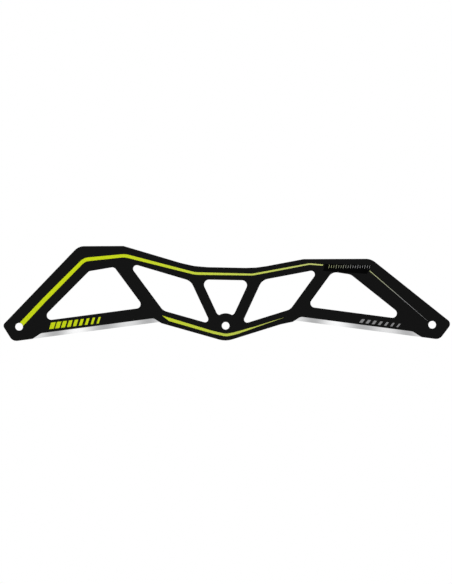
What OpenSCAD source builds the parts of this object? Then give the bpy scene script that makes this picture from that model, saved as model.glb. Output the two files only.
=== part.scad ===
// Inline skate frame for three wheels: two open side plates, tied by a heel deck, a toe deck,
// two webs and two tubes.
// X runs forward to the toe, Y to the left, Z up, in millimetres.
// The origin is the centre of the middle axle, halfway between the plates.

/* [Wheels and width] */
// Distance between the rear and front axle centres
wheelbase = 330.2; // [310:0.1:350]
// Largest wheel that fits, across its tread
wheel_d = 125; // [110:0.5:126]
// Room left around that wheel
wheel_room = 3.5; // [2:0.1:4.5]
// Space between the two side plates
inner_gap = 28; // [26:0.1:32]
// Thickness of a side plate
plate_t = 4; // [3.5:0.1:5]

/* [Axle bushes] */
// Bore for the axle
axle_bore = 6.1; // [5.5:0.05:8]
// Space between the two faces that hold a wheel's bearings
bearing_gap = 24.4; // [23:0.1:25.5]
// Diameter of a bush's barrel
bush_d = 11; // [10:0.1:13]
// Diameter of a bush's flange
bush_flange_d = 14; // [13:0.1:17]
// Plate left between a bush and the outer face
plate_skin = 1.2; // [0.8:0.1:2]

/* [Boot decks] */
// Distance between the heel bolt and the toe bolt
boot_spacing = 195; // [185:0.5:205]
// Toe bolt ahead of the middle axle
toe_bolt_x = 94; // [89:0.5:99]
// Height of the heel deck over the axles
heel_h = 64.2; // [61:0.1:70]
// Height of the toe deck over the axles
toe_h = 53; // [50:0.1:58]
// Heel deck behind its bolt, to the sharp corner
heel_back = 16.3; // [15:0.1:20]
// Heel deck ahead of its bolt
heel_front = 19.6; // [17:0.1:24]
// Toe deck behind its bolt
toe_back = 31.5; // [28:0.1:36]
// Toe deck ahead of its bolt, to the sharp corner
toe_front = 22.5; // [21:0.1:27]

/* [Deck blocks] */
// Depth of the heel block under the deck
heel_block_h = 15; // [13:0.1:16]
// Depth of the toe block under the deck
toe_block_h = 9.6; // [9.2:0.1:10.4]
// Length of the toe block, centred on its bolt
toe_block_l = 38; // [36:0.5:40]
// Step from the plates' rear edge in to the heel block
heel_block_in = 3; // [2:0.1:4]
// Step from the heel deck's front corner back to the heel block
heel_block_short = 1.5; // [0.5:0.1:3]

/* [Slide plates] */
// How far a slide plate moves to each side
side_travel = 6; // [3:0.1:8]
// Room left between a slide plate at its limit and the side plate
stop_gap = 1; // [0.4:0.1:2]
// Slide plate size along the frame
slide_w = 15.4; // [14:0.1:17]
// Slide plate thickness
slide_t = 2.8; // [2:0.1:3.2]
// Hole for the boot bolt
bolt_hole = 6.4; // [6:0.1:6.6]
// Width of the slot that the boot bolt moves in
bolt_slot_w = 6.8; // [6.5:0.1:8]
// Deck left above a slide plate
deck_t = 3; // [2.5:0.1:3.5]
// Width of the opening for the bolt's head
head_w = 12; // [11:0.1:13]
// Running gap round a slide plate
slide_gap = 0.3; // [0.2:0.05:0.4]

/* [Side plate outline] */
// Tip behind the rear axle
rear_tip_x = 13.3; // [11:0.1:16]
// Tip ahead of the front axle
front_tip_x = 15.8; // [13:0.1:18]
// Height of both tips over the axles
tip_h = 1.2; // [0:0.1:3]
// Foot corner behind the rear axle
rear_foot_x = 5.2; // [3:0.1:7]
// Foot corner ahead of the front axle
front_foot_x = 5.8; // [4:0.1:8]
// Foot corners below the axles
foot_drop = 11.8; // [10.5:0.05:13]
// Rear knee behind the middle axle
rear_knee_x = 51.3; // [48:0.1:55]
// Height of the rear knee
rear_knee_h = 2.2; // [0:0.1:4]
// Front knee ahead of the middle axle
front_knee_x = 53.8; // [50:0.1:57]
// Height of the front knee
front_knee_h = 2.9; // [1:0.1:5]
// Bend before the front knee, back from it
bend_run = 9.8; // [7:0.1:12]
// Bend before the front knee, down from it
bend_drop = 2; // [1:0.1:2.4]
// Lowest corner below the middle axle
belly_drop = 12.6; // [12:0.1:15]
// Rear end of the saddle behind the middle axle
saddle_rear_x = 25; // [22:0.1:28]
// Height of the saddle's rear end
saddle_rear_h = 47.2; // [45:0.1:50]
// Front end of the saddle ahead of the middle axle
saddle_front_x = 24.5; // [22:0.1:28]
// Height of the saddle's front end
saddle_front_h = 46; // [44:0.1:48]

/* [Truss members] */
// Sloping rear post at its tip
rear_post_w = 18.6; // [17.5:0.1:20]
// Sloping rear post under the heel deck
rear_post_top_w = 20.1; // [19:0.1:21]
// Sloping front post
front_post_w = 20; // [18:0.1:21.5]
// Lower rail at the rear
rear_rail_w = 13.1; // [12.2:0.1:14]
// Lower rail at the front
front_rail_w = 12.3; // [11.8:0.1:13.2]
// Rail from the rear knee to the belly
rear_belly_w = 10.2; // [9:0.1:11]
// Rail from the belly to the front knee
front_belly_w = 9.2; // [8.5:0.1:10]
// Rail from the saddle up to the heel deck
heel_rail_w = 11.6; // [10:0.1:12.5]
// Rail under the saddle
saddle_w = 10; // [9:0.1:11.5]
// Rail from the saddle up to the toe deck
toe_rail_w = 10.3; // [9:0.1:10.6]
// Outer strut at the rear
rear_strut_w = 10.8; // [10:0.1:12]
// Inner strut at the rear
rear_inner_strut_w = 8; // [7.5:0.1:9.5]
// Inner strut at the front
front_inner_strut_w = 8.8; // [7.5:0.1:9.5]
// Outer strut at the front
front_strut_w = 9.5; // [8.8:0.1:11]
// Depth of metal under the heel deck, at the deck's rear corner
heel_web_rear = 21.5; // [20:0.1:23]
// Depth of metal under the heel deck, at the deck's front corner
heel_web_front = 15.6; // [15.2:0.1:17]
// Depth of metal under the toe deck, at the deck's rear corner
toe_web_rear = 6.6; // [6:0.1:7.5]
// Depth of metal under the toe deck, at the deck's front corner
toe_web_front = 15.1; // [14:0.1:17]
// Radius of the metal round the middle axle
axle_boss_r = 10; // [9:0.1:11]
// Sill of the centre window over the middle axle
centre_sill_h = 8.6; // [7.5:0.1:9.5]

/* [Where the struts aim] */
// Rear outer strut: its foot ahead of the rear knee
rear_strut_foot = 2.2; // [1:0.1:3.5]
// Rear outer strut: its head behind the heel deck's front corner
rear_strut_head = 13.2; // [11:0.1:15]
// Rear inner strut: its foot behind the belly corner
rear_inner_foot = 1; // [0:0.1:2.5]
// Rear inner strut: its head behind the saddle's rear end
rear_inner_head = 3.5; // [2:0.1:5]
// Front inner strut: its foot ahead of the belly corner
front_inner_foot = 1.4; // [0:0.1:2.5]
// Front inner strut: its head ahead of the saddle's front end
front_inner_head = 4.4; // [3:0.1:6]
// Front outer strut: its foot behind the front knee
front_strut_foot = 3.5; // [2:0.1:5]
// Front outer strut: its head ahead of the toe deck's rear corner
front_strut_head = 24.6; // [22:0.1:27]

/* [Corner radii] */
// Rear tip
rear_tip_r = 3; // [1:0.1:4]
// Front tip
front_tip_r = 4; // [1:0.1:5]
// Feet
foot_r = 6; // [2:0.1:7]
// Belly under the middle axle
belly_r = 18; // [8:0.5:25]
// Ends of the saddle
saddle_r = 80; // [20:1:100]
// Rear corner of the heel deck
heel_corner_r = 10.5; // [7:0.1:12]
// Front corner of the toe deck
toe_corner_r = 12; // [8:0.1:14]
// Inner corners of both decks
deck_edge_r = 3; // [1:0.1:8]
// Outer windows: corner by the tip
window_tip_r = 3.5; // [2:0.1:4]
// Outer windows: corner by the knee
window_knee_r = 3.5; // [2:0.1:4.5]
// Rear window: corners under the heel deck
window_heel_r = 3.4; // [2:0.1:4.5]
// Front window: rear corner under the toe deck
window_toe_rear_r = 7; // [4:0.1:8]
// Front window: front corner under the toe deck
window_toe_front_r = 8; // [3:0.1:10]
// Slanted windows: corner by the deck
slant_deck_r = 2.9; // [2:0.1:4]
// Slanted windows: corner by the saddle
slant_saddle_r = 9; // [5:0.1:11]
// Slanted windows: corner by the belly
slant_belly_r = 2.5; // [1.5:0.1:3.5]
// Slanted windows: corner by the knee
slant_knee_r = 8; // [5:0.1:10]
// Centre window: upper corners
centre_top_r = 4; // [2:0.1:6]
// Centre window: lower corners
centre_foot_r = 3.2; // [2:0.1:4]

/* [Milled bevels] */
// Rear bevel: its start ahead of the rear axle
rear_bevel_start = 10.6; // [8:0.1:14]
// Front bevel: its end behind the front axle
front_bevel_end = 8.6; // [7:0.1:13]
// Height of a bevel
bevel_h = 3.6; // [3:0.1:4.4]
// How far a knee reaches below the end of its bevel
knee_step = 1.05; // [0.5:0.05:1.5]
// Slope of the ends of a bevel
bevel_ramp = 33; // [25:1:45]
// Radius where the ends of a bevel turn
bevel_turn_r = 5; // [2:0.1:6]
// How far a bevel leans in from the outer face
bevel_lean = 25; // [15:1:30]

/* [Cross pieces] */
// Rear web: length along its strut
rear_web_l = 28; // [24:0.5:30]
// Rear web: thickness
rear_web_w = 8.4; // [7.8:0.1:9]
// Rear web: its middle above the rear strut's foot, along the strut
rear_web_rise = 40.5; // [38.5:0.1:42]
// Front web: length along its strut
front_web_l = 22; // [20:0.5:23]
// Front web: thickness
front_web_w = 7.4; // [7.2:0.1:8.4]
// Front web: its middle above the front strut's foot, along the strut
front_web_rise = 33.8; // [33:0.1:34.4]
// Diameter of a rail spacer
spacer_d = 8; // [7:0.1:8.2]
// Rear spacer ahead of the rear axle
rear_spacer_x = 75; // [72:0.5:90]
// Front spacer behind the front axle
front_spacer_x = 84; // [80:0.5:92]

/* [Screws] */
// Screws that hold the decks
deck_screw_d = 4; // [3.5:0.1:4.4]
// Screws that hold the webs and the spacers
web_screw_d = 4; // [3:0.1:4.2]
// Head diameter as a multiple of the screw's diameter
head_ratio = 1.85; // [1.7:0.05:1.95]
// Hexagon key as a multiple of the screw's diameter
key_ratio = 0.6; // [0.45:0.05:0.65]
// How far a screw is threaded into the right plate
thread_in = 2.9; // [2.4:0.1:3.2]
// Clearance round a screw in the pieces that it passes through
screw_gap = 0.15; // [0.1:0.05:0.3]
// How far a screw's head lies below the outer face
head_sunk = 0.1; // [0.05:0.05:0.3]
// Heel screws from the heel bolt, behind and ahead
heel_screw_x = 12.6; // [12:0.1:13.5]
// Heel screws below the deck
heel_screw_drop = 10.2; // [9.5:0.1:11]
// Toe screws in from the ends of the toe block
toe_screw_in = 5; // [4.5:0.1:5.5]
// Toe screws below the deck
toe_screw_drop = 5; // [4.6:0.1:5.4]

/* [Hidden] */
$fn = 64;
// Largest turn of an outline between two of its points, in degrees
arc_step = 9;
// Clearance of a fit that is pressed or screwed together
fit_gap = 0.02;
// Gap under the end of a bush or a screw in its blind hole
end_gap = 0.2;
// Overrun of a cut past the face that it opens
over = 2;

half_gap = inner_gap / 2;
half_w = half_gap + plate_t;
flange_t = (inner_gap - bearing_gap) / 2;
bush_depth = plate_t - plate_skin;

// Corners of the side plate, as [x, z]
rear_axle = [-wheelbase / 2, 0];
front_axle = [wheelbase / 2, 0];
middle_axle = [0, 0];
heel_bolt_x = toe_bolt_x - boot_spacing;
rear_tip = rear_axle + [-rear_tip_x, tip_h];
front_tip = front_axle + [front_tip_x, tip_h];
rear_foot = rear_axle + [-rear_foot_x, -foot_drop];
front_foot = front_axle + [front_foot_x, -foot_drop];
rear_knee = [-rear_knee_x, rear_knee_h];
belly = [0, -belly_drop];
front_knee = [front_knee_x, front_knee_h];
front_bend = front_knee - [bend_run, bend_drop];
toe_front_corner = [toe_bolt_x + toe_front, toe_h];
toe_rear_corner = [toe_bolt_x - toe_back, toe_h];
saddle_front = [saddle_front_x, saddle_front_h];
saddle_rear = [-saddle_rear_x, saddle_rear_h];
heel_front_corner = [heel_bolt_x + heel_front, heel_h];
heel_rear_corner = [heel_bolt_x - heel_back, heel_h];
// Lips, where the bevelled edges end just above the knees
rear_lip = rear_knee + knee_step * [-1 / tan(bevel_ramp), 1];
front_lip = front_knee + knee_step * [1 / tan(bevel_ramp), 1];

plate_corners = [
    rear_tip, rear_foot, rear_lip, rear_knee, belly,
    front_bend, front_knee, front_lip, front_foot, front_tip,
    toe_front_corner, toe_rear_corner, saddle_front, saddle_rear, heel_front_corner, heel_rear_corner
];
plate_radii = [
    rear_tip_r, foot_r, 0, 0, belly_r,
    0, 0, 0, foot_r, front_tip_r,
    toe_corner_r, deck_edge_r, saddle_r, saddle_r, deck_edge_r, heel_corner_r
];

// Unit vector along v
function unit(v) = v / norm(v);

// Unit vector to the left of the way from a to b
function left(a, b) = let (d = unit(b - a)) [-d.y, d.x];

// Line through a and b, moved to its left by shift: a point and a direction
function line(a, b, shift = 0) = [a + shift * left(a, b), unit(b - a)];

// Point where lines l and m cross
function meet(l, m) = l[0] + l[1] * cross(m[0] - l[0], m[1]) / cross(l[1], m[1]);

// Point of line l at the given x
function at_x(l, x) = l[0] + l[1] * (x - l[0].x) / l[1].x;

// Angle brought between -180 and 180 degrees
function wrapped(angle) = angle - 360 * round(angle / 360);

// Arc of radius r that rounds corner c between its neighbours p and n
function corner_arc(p, c, n, r) =
    let (u = unit(p - c))
    let (v = unit(n - c))
    let (half = acos(u * v) / 2)
    let (centre = c + unit(u + v) * r / sin(half))
    let (from = c + u * r / tan(half) - centre)
    let (to = c + v * r / tan(half) - centre)
    let (start = atan2(from.y, from.x))
    let (sweep = wrapped(atan2(to.y, to.x) - start))
    let (steps = ceil(abs(sweep) / arc_step))
    [for (i = [0:steps]) centre + r * [cos(start + sweep * i / steps), sin(start + sweep * i / steps)]];

// Closed outline with each corner rounded by its radius; a radius of 0 keeps the corner
function rounded(corners, radii) =
    let (count = len(corners))
    [for (i = [0:count - 1])
        each (radii[i] == 0
            ? [corners[i]]
            : corner_arc(
                corners[(i + count - 1) % count],
                corners[i],
                corners[(i + 1) % count],
                radii[i]))];

// Inner edges of the rails and posts
rear_post_side = left(heel_rear_corner, rear_tip);
rear_post_top = heel_rear_corner + rear_post_top_w * rear_post_side;
rear_post_edge = line(rear_post_top, rear_tip + rear_post_w * rear_post_side);
rear_rail_edge = line(rear_foot, rear_lip, rear_rail_w);
rear_belly_edge = line(rear_knee, belly, rear_belly_w);
front_belly_edge = line(belly, front_bend, front_belly_w);
front_rail_edge = line(front_lip, front_foot, front_rail_w);
front_post_edge = line(front_tip, toe_front_corner, front_post_w);
toe_rail_edge = line(toe_rear_corner, saddle_front, toe_rail_w);
saddle_edge = line(saddle_front, saddle_rear, saddle_w);
heel_rail_edge = line(saddle_rear, heel_front_corner, heel_rail_w);
heel_web_edge = line(heel_front_corner - [0, heel_web_front], heel_rear_corner - [0, heel_web_rear]);
toe_web_edge = line(toe_front_corner - [0, toe_web_front], toe_rear_corner - [0, toe_web_rear]);
sill_edge = line([0, centre_sill_h], [1, centre_sill_h]);

// Feet and heads of the strut centre lines
rear_strut = [rear_knee + [rear_strut_foot, 0], heel_front_corner - [rear_strut_head, 0]];
rear_inner_strut = [belly - [rear_inner_foot, 0], saddle_rear - [rear_inner_head, 0]];
front_inner_strut = [belly + [front_inner_foot, 0], saddle_front + [front_inner_head, 0]];
front_strut = [front_knee - [front_strut_foot, 0], toe_rear_corner + [front_strut_head, 0]];

// Edge of a strut of width w, on its rear side (+1) or its front side (-1)
function strut_edge(strut, w, side) = line(strut[0], strut[1], side * w / 2);

rear_strut_back = strut_edge(rear_strut, rear_strut_w, 1);
rear_strut_face = strut_edge(rear_strut, rear_strut_w, -1);
rear_inner_back = strut_edge(rear_inner_strut, rear_inner_strut_w, 1);
rear_inner_face = strut_edge(rear_inner_strut, rear_inner_strut_w, -1);
front_inner_back = strut_edge(front_inner_strut, front_inner_strut_w, 1);
front_inner_face = strut_edge(front_inner_strut, front_inner_strut_w, -1);
front_strut_back = strut_edge(front_strut, front_strut_w, 1);
front_strut_face = strut_edge(front_strut, front_strut_w, -1);

rear_window = rounded(
    [meet(rear_post_edge, rear_rail_edge), meet(rear_rail_edge, rear_strut_back),
        meet(rear_strut_back, heel_web_edge), meet(heel_web_edge, rear_post_edge)],
    [window_tip_r, window_knee_r, window_heel_r, window_heel_r]);
rear_slant_window = rounded(
    [meet(rear_strut_face, rear_belly_edge), meet(rear_belly_edge, rear_inner_back),
        meet(rear_inner_back, heel_rail_edge), meet(heel_rail_edge, rear_strut_face)],
    [slant_knee_r, slant_belly_r, slant_saddle_r, slant_deck_r]);
centre_window = rounded(
    [meet(rear_inner_face, sill_edge), meet(sill_edge, front_inner_back),
        meet(front_inner_back, saddle_edge), meet(saddle_edge, rear_inner_face)],
    [centre_foot_r, centre_foot_r, centre_top_r, centre_top_r]);
front_slant_window = rounded(
    [meet(front_inner_face, front_belly_edge), meet(front_belly_edge, front_strut_back),
        meet(front_strut_back, toe_rail_edge), meet(toe_rail_edge, front_inner_face)],
    [slant_belly_r, slant_knee_r, slant_deck_r, slant_saddle_r]);
front_window = rounded(
    [meet(front_strut_face, front_rail_edge), meet(front_rail_edge, front_post_edge),
        meet(front_post_edge, toe_web_edge), meet(toe_web_edge, front_strut_face)],
    [window_knee_r, window_tip_r, window_toe_front_r, window_toe_rear_r]);

// Ends of the bevels on the plate's lower edge, foot first
rear_bevel = [at_x(line(rear_foot, rear_lip), rear_axle.x + rear_bevel_start), rear_lip];
front_bevel = [at_x(line(front_lip, front_foot), front_axle.x - front_bevel_end), front_lip];

// Places of the screws and cross pieces, as [x, z]
heel_screws = [for (side = [-1, 1]) [heel_bolt_x + side * heel_screw_x, heel_h - heel_screw_drop]];
toe_screw_x = toe_block_l / 2 - toe_screw_in;
toe_screws = [for (side = [-1, 1]) [toe_bolt_x + side * toe_screw_x, toe_h - toe_screw_drop]];
rear_web_mid = rear_strut[0] + rear_web_rise * unit(rear_strut[1] - rear_strut[0]);
front_web_mid = front_strut[0] + front_web_rise * unit(front_strut[1] - front_strut[0]);
rear_spacer_line = line(rear_foot, rear_lip, (rear_rail_w + bevel_h) / 2);
front_spacer_line = line(front_lip, front_foot, (front_rail_w + bevel_h) / 2);
rear_spacer = at_x(rear_spacer_line, rear_axle.x + rear_spacer_x);
front_spacer = at_x(front_spacer_line, front_axle.x - front_spacer_x);

// Centres of a web's two round ends, which are also its screws
function web_ends(mid, strut, l, w) =
    [for (side = [-1, 1]) mid + side * (l - w) / 2 * unit(strut[1] - strut[0])];

rear_web_screw_places = web_ends(rear_web_mid, rear_strut, rear_web_l, rear_web_w);
front_web_screw_places = web_ends(front_web_mid, front_strut, front_web_l, front_web_w);

black_finish = [0.08, 0.08, 0.08];
dark_finish = [0.16, 0.16, 0.17];
bare_metal = [0.75, 0.76, 0.77];
screw_steel = [0.55, 0.56, 0.58];

// Carries a side-view outline from y0 to y1
module across(y0, y1) {
    translate([0, y1, 0])
        rotate([90, 0, 0])
            linear_extrude(height = y1 - y0)
                children();
}

// Round bar along Y at place p, from y0 to y1
module bar(p, y0, y1, d) {
    translate([p.x, y1, p.y])
        rotate([90, 0, 0])
            cylinder(h = y1 - y0, d = d);
}

// Side view of a plate
module plate_shape() {
    difference() {
        polygon(rounded(plate_corners, plate_radii));
        polygon(rear_window);
        polygon(rear_slant_window);
        difference() {
            polygon(centre_window);
            circle(r = axle_boss_r);
        }
        polygon(front_slant_window);
        polygon(front_window);
    }
}

// Metal milled off the outer face along a lower rail: edge runs from its foot to its lip by the knee,
// and way is 1 where that goes forward and -1 where it goes back
module bevel_cut(edge, way) {
    upper = line(edge[0] + [0, bevel_h], edge[1] + [0, bevel_h]);
    foot_ramp = [edge[0], [way * cos(bevel_ramp), sin(bevel_ramp)]];
    knee_ramp = [edge[1], [-way * cos(bevel_ramp), sin(bevel_ramp)]];
    corners = [
        edge[0] - 2 * bevel_h * foot_ramp[1], meet(foot_ramp, upper),
        meet(knee_ramp, upper), edge[1], edge[1] - [0, 2 * bevel_h]
    ];
    reach = norm(edge[1] - edge[0]);
    slope = atan(upper[1].y / upper[1].x);
    intersection() {
        across(-half_w - over, -half_gap)
            polygon(rounded(corners, [0, bevel_turn_r, bevel_turn_r, 0, 0]));
        translate([upper[0].x, -half_w, upper[0].y])
            rotate([0, -slope, 0])
                rotate([bevel_lean, 0, 0])
                    translate([-reach, -reach, -reach / 2])
                        cube([2 * reach, reach, reach]);
    }
}

// Right plate before its screw holes
module plate_blank() {
    difference() {
        across(-half_w, -half_gap)
            plate_shape();
        bevel_cut(rear_bevel, 1);
        bevel_cut(front_bevel, -1);
        for (axle = [rear_axle, middle_axle, front_axle]) {
            bar(axle, -half_w - over, -half_gap + over, axle_bore);
            bar(axle, -half_gap - bush_depth, -half_gap + over, bush_d + 2 * fit_gap);
        }
    }
}

// Blind holes for screws in the right plate
module tapped_holes(places, d) {
    for (p = places)
        bar(p, -half_gap - thread_in - end_gap, -half_gap + over, d + 2 * fit_gap);
}

// Countersunk holes for screws in the left plate
module sunk_holes(places, d) {
    for (p = places) {
        bar(p, half_gap - over, half_w + over, d + 2 * screw_gap);
        translate([p.x, half_w - head_sunk + fit_gap, p.y])
            rotate([90, 0, 0])
                screw_head(d, fit_gap);
        bar(p, half_w - head_sunk, half_w + over, d * head_ratio + 2 * fit_gap);
    }
}

// Depth of a countersunk head whose cone is 90 degrees wide
function head_depth(d) = d * (head_ratio - 1) / 2;

// Cone of a countersunk head along Z, with its top at z = 0, grown by the given clearance
module screw_head(d, grown = 0) {
    cylinder(h = head_depth(d), d1 = d * head_ratio + 2 * grown, d2 = d + 2 * grown);
}

// Countersunk screws through both plates at the given places
module screws(places, d) {
    tip = -half_gap - thread_in;
    top = half_w - head_sunk;
    color(screw_steel)
        for (p = places)
            translate([p.x, top, p.y])
                rotate([90, 0, 0])
                    difference() {
                        union() {
                            screw_head(d);
                            cylinder(h = top - tip, d = d);
                        }
                        translate([0, 0, -over])
                            cylinder(h = over + head_depth(d), d = d * key_ratio / cos(30), $fn = 6);
                    }
}

// Plain holes for screws through a cross piece
module passing_holes(places, d) {
    for (p = places)
        bar(p, -half_gap - over, half_gap + over, d + 2 * screw_gap);
}

// Cross channel for a slide plate, with its slot above and its opening below, from the deck's top
module slide_channel(bolt_x, deck_h, block_h) {
    groove_w = slide_w + 2 * slide_gap;
    groove_h = slide_t + 2 * slide_gap;
    long = inner_gap + 2 * over;
    translate([bolt_x - groove_w / 2, -long / 2, deck_h - deck_t - groove_h])
        cube([groove_w, long, groove_h]);
    translate([bolt_x - head_w / 2, -long / 2, deck_h - block_h - over])
        cube([head_w, long, block_h + over - deck_t - groove_h / 2]);
    translate([bolt_x, 0, deck_h - deck_t - groove_h / 2]) {
        translate([-bolt_slot_w / 2, -side_travel, 0])
            cube([bolt_slot_w, 2 * side_travel, deck_t + groove_h]);
        for (side = [-1, 1])
            translate([0, side * side_travel, 0])
                cylinder(h = deck_t + groove_h, d = bolt_slot_w);
    }
}

// Slide plate under a deck
module slide_plate(bolt_x, deck_h) {
    slide_l = inner_gap - 2 * (side_travel + stop_gap);
    difference() {
        translate([bolt_x - slide_w / 2, -slide_l / 2, deck_h - deck_t - slide_gap - slide_t])
            cube([slide_w, slide_l, slide_t]);
        translate([bolt_x, 0, deck_h - deck_t - slide_gap - slide_t - over])
            cylinder(h = slide_t + 2 * over, d = bolt_hole);
    }
}

// Web behind a strut, with a round end at each screw
module strut_web(mid, strut, l, w, places) {
    run = strut[1] - strut[0];
    color(dark_finish)
        difference() {
            across(-half_gap, half_gap) {
                translate(mid)
                    rotate(atan2(run.y, run.x))
                        square([l - w, w], center = true);
                for (p = places)
                    translate(p)
                        circle(d = w);
            }
            passing_holes(places, web_screw_d);
        }
}

// Tube between the lower rails
module rail_spacer(p) {
    color(dark_finish)
        difference() {
            bar(p, -half_gap, half_gap, spacer_d);
            passing_holes([p], web_screw_d);
        }
}

// Flanged bush in the right plate; the left one is its mirror image
module bush(axle) {
    color(bare_metal)
        difference() {
            union() {
                bar(axle, -half_gap - bush_depth + end_gap, -half_gap + flange_t / 2, bush_d);
                bar(axle, -half_gap, -half_gap + flange_t, bush_flange_d);
            }
            bar(axle, -half_w, 0, axle_bore);
        }
}

module right_side_plate() {
    color(black_finish)
        difference() {
            plate_blank();
            tapped_holes(heel_screws, deck_screw_d);
            tapped_holes(toe_screws, deck_screw_d);
            tapped_holes(rear_web_screw_places, web_screw_d);
            tapped_holes(front_web_screw_places, web_screw_d);
            tapped_holes([rear_spacer, front_spacer], web_screw_d);
        }
}

module left_side_plate() {
    color(black_finish)
        difference() {
            mirror([0, 1, 0])
                plate_blank();
            sunk_holes(heel_screws, deck_screw_d);
            sunk_holes(toe_screws, deck_screw_d);
            sunk_holes(rear_web_screw_places, web_screw_d);
            sunk_holes(front_web_screw_places, web_screw_d);
            sunk_holes([rear_spacer, front_spacer], web_screw_d);
        }
}

module heel_platform() {
    deck = line(heel_rear_corner, heel_front_corner);
    floor_line = line(heel_rear_corner - [0, heel_block_h], heel_front_corner - [0, heel_block_h]);
    rear_face = line(heel_rear_corner, rear_tip, heel_block_in);
    front_x = heel_front_corner.x - heel_block_short;
    corners = [
        meet(deck, rear_face), meet(floor_line, rear_face),
        at_x(floor_line, front_x), at_x(deck, front_x)
    ];
    color(dark_finish)
        difference() {
            across(-half_gap, half_gap)
                polygon(corners);
            bar(rear_axle, -half_gap - over, half_gap + over, wheel_d + 2 * wheel_room);
            slide_channel(heel_bolt_x, heel_h, heel_block_h);
            passing_holes(heel_screws, deck_screw_d);
        }
}

module toe_platform() {
    color(dark_finish)
        difference() {
            translate([toe_bolt_x - toe_block_l / 2, -half_gap, toe_h - toe_block_h])
                cube([toe_block_l, inner_gap, toe_block_h]);
            bar(front_axle, -half_gap - over, half_gap + over, wheel_d + 2 * wheel_room);
            slide_channel(toe_bolt_x, toe_h, toe_block_h);
            passing_holes(toe_screws, deck_screw_d);
        }
}

module rear_strut_web() {
    strut_web(rear_web_mid, rear_strut, rear_web_l, rear_web_w, rear_web_screw_places);
}

module front_strut_web() {
    strut_web(front_web_mid, front_strut, front_web_l, front_web_w, front_web_screw_places);
}

module rear_rail_spacer() {
    rail_spacer(rear_spacer);
}

module front_rail_spacer() {
    rail_spacer(front_spacer);
}

module heel_slide_plate() {
    color(screw_steel)
        slide_plate(heel_bolt_x, heel_h);
}

module toe_slide_plate() {
    color(screw_steel)
        slide_plate(toe_bolt_x, toe_h);
}

module left_bush(axle) {
    mirror([0, 1, 0])
        bush(axle);
}

right_side_plate();
left_side_plate();
heel_platform();
toe_platform();
rear_strut_web();
front_strut_web();
rear_rail_spacer();
front_rail_spacer();
bush(rear_axle);  // rear_bush_right
left_bush(rear_axle);  // rear_bush_left
bush(middle_axle);  // middle_bush_right
left_bush(middle_axle);  // middle_bush_left
bush(front_axle);  // front_bush_right
left_bush(front_axle);  // front_bush_left
heel_slide_plate();
toe_slide_plate();
screws(heel_screws, deck_screw_d);  // heel_platform_screws
screws(toe_screws, deck_screw_d);  // toe_platform_screws
screws(rear_web_screw_places, web_screw_d);  // rear_web_screws
screws(front_web_screw_places, web_screw_d);  // front_web_screws
screws([rear_spacer], web_screw_d);  // rear_spacer_screw
screws([front_spacer], web_screw_d);  // front_spacer_screw
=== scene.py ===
"""Looks of an inline skate frame: its side plates, print, decks, slide plates, bushes, cross pieces and
screws.

X runs forward to the toe, Y to the left and Z up, in metres. The outlines, holes and places of the pieces
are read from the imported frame, and the sizes and colours that a user may change are the add-on's properties.
"""
import math

import bmesh
import bpy
import numpy as np
from bpy.props import FloatProperty, FloatVectorProperty, IntProperty, PointerProperty
from mathutils.geometry import delaunay_2d_cdt
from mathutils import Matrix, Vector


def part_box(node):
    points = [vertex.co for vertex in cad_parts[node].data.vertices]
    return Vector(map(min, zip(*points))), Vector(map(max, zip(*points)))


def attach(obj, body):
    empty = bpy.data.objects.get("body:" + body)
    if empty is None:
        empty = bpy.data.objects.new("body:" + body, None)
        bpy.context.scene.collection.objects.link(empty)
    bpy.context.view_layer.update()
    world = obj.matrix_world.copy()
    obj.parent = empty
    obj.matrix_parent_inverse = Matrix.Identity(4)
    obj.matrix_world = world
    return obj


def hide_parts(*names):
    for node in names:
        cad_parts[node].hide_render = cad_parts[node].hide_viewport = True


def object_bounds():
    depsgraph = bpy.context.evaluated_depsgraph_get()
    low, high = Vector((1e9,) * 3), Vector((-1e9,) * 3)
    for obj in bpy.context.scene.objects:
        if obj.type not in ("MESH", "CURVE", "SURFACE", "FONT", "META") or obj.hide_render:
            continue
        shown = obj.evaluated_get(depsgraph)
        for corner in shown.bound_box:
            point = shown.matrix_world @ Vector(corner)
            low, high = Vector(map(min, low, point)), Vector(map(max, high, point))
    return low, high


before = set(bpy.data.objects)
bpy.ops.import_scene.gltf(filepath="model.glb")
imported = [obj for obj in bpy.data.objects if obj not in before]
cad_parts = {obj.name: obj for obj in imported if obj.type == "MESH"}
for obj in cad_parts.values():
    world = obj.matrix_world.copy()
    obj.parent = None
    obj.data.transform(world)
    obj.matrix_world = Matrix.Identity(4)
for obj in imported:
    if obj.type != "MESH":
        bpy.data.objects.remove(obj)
cad_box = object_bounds()

bl_info = {
    "name": "Inline skate frame",
    "version": (1, 0, 0),
    "blender": (4, 5, 0),
    "location": "View3D > Sidebar > Skate frame",
    "description": "Builds the finished surfaces of a three-wheel skate frame around its solids",
    "category": "Object",
}

MM = 0.001
# Corners closer than this are one corner
WELD = 2e-6
# A hole whose radius varies by less than the first is round, and two middles closer than the second are one
ROUND_WITHIN, SAME_PLACE = 0.01 * MM, 0.1 * MM
# Folds sharper than this stay crisp; the steps of a rounded edge are smaller
CRISP = math.radians(22)
# On a copied solid, folds below the first angle are dissolved and folds above the second are bevelled
DISSOLVED, BEVELLED = math.radians(0.5), math.radians(40)
# Facets across a broken edge and across a bevelled fold
EDGE_STEPS, BEVEL_STEPS = 5, 3
# Steps round a circle: plain holes and screws, threaded holes, and bushes
ROUND_STEPS, THREAD_STEPS, BUSH_STEPS = 48, 24, 64
# Chamfer of the edges of a screw's head and socket, and how far from an edge the head is rubbed
SCREW_LIP, SCREW_RUB = 0.08 * MM, 0.24 * MM
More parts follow.
